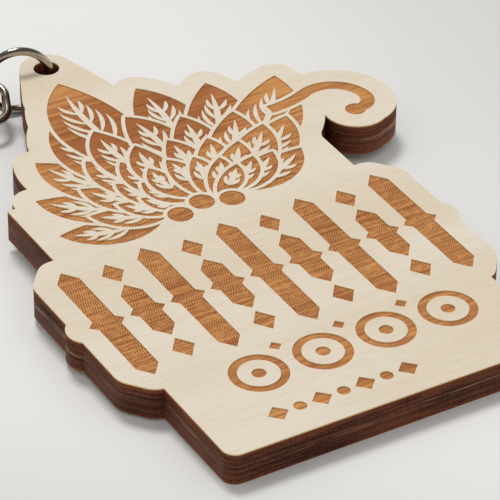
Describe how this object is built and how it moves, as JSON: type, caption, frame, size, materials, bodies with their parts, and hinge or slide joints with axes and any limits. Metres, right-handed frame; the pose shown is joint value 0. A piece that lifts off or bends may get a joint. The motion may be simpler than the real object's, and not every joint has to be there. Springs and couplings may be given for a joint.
{
  "type": "key tag",
  "caption": "Laser-engraved plywood key tag with a round contactless inlay in its back, hung on a jump ring, a short link chain and a split key ring.",
  "frame": {"origin": "middle of the round label, on the tag's back face", "axes": "+X along the tag's straight bottom edge, +Y up the tag to its hole, +Z out of its engraved face"},
  "size_m": [0.0593, 0.0836, 0.0071],
  "materials": {
    "face_wood": "pale birch veneer, bare, with laser-browned engraving and edge",
    "core_wood": "inner birch veneer, its cut edge browned by the laser",
    "back_wood": "birch veneer, bare, its cut edge charred dark brown",
    "label_film": "white film, slightly glossy",
    "antenna_foil": "etched foil, satin",
    "chip_black": "moulded, smooth",
    "carrier_film": "clear film, seen as pale grey",
    "adhesive": "dull, milky",
    "ring_nickel": "bright nickel plate on steel wire",
    "chain_nickel": "bright nickel plate on steel wire",
    "key_ring_nickel": "bright nickel plate on spring steel"
  },
  "bodies": {
    "tag": {"face_ply": "face_wood", "core_ply": "core_wood", "back_ply": "back_wood", "inlay_label": "label_film", "inlay_antenna": "antenna_foil", "inlay_chip": "chip_black", "inlay_carrier": "carrier_film", "inlay_bridge": "antenna_foil", "inlay_adhesive": "adhesive"},
    "jump_ring": {"jump_ring": "ring_nickel"},
    "chain_link_1": {"chain_link_1": "chain_nickel"},
    "chain_link_2": {"chain_link_2": "chain_nickel"},
    "chain_link_3": {"chain_link_3": "chain_nickel"},
    "chain_link_4": {"chain_link_4": "chain_nickel"},
    "split_ring": {"split_ring": "key_ring_nickel"}
  },
  "joints": [
    {"name": "jump_ring_turn", "type": "hinge", "parent": "tag", "child": "jump_ring", "pos_m": [-0.0011, 0.0433, 0], "axis": [0, 0, 1], "range_deg": [-80, 10]},
    {"name": "link_1_swing", "type": "hinge", "parent": "jump_ring", "child": "chain_link_1", "pos_m": [-0.00664, 0.04478, 0.00145], "axis": [0.2008, -0.0538, -0.9781], "range_deg": [-10, 60]},
    {"name": "link_2_tilt", "type": "hinge", "parent": "chain_link_1", "child": "chain_link_2", "pos_m": [-0.0092, 0.04155, 0.00078], "axis": [0.4198, -0.9002, -0.1159], "range_deg": [-30, 30]},
    {"name": "link_3_swing", "type": "hinge", "parent": "chain_link_2", "child": "chain_link_3", "pos_m": [-0.01326, 0.03969, 0.00053], "axis": [0.0901, 0.1561, -0.9836], "range_deg": [-30, 30]},
    {"name": "link_4_tilt", "type": "hinge", "parent": "chain_link_3", "child": "chain_link_4", "pos_m": [-0.01647, 0.04257, 0.00065], "axis": [0.8767, 0.4662, 0.1183], "range_deg": [-30, 30]},
    {"name": "split_ring_swing", "type": "hinge", "parent": "chain_link_4", "child": "split_ring", "pos_m": [-0.01858, 0.04653, 0.00065], "axis": [-0.0308, -0.0164, 0.9994], "range_deg": [-25, 40]}
  ]
}
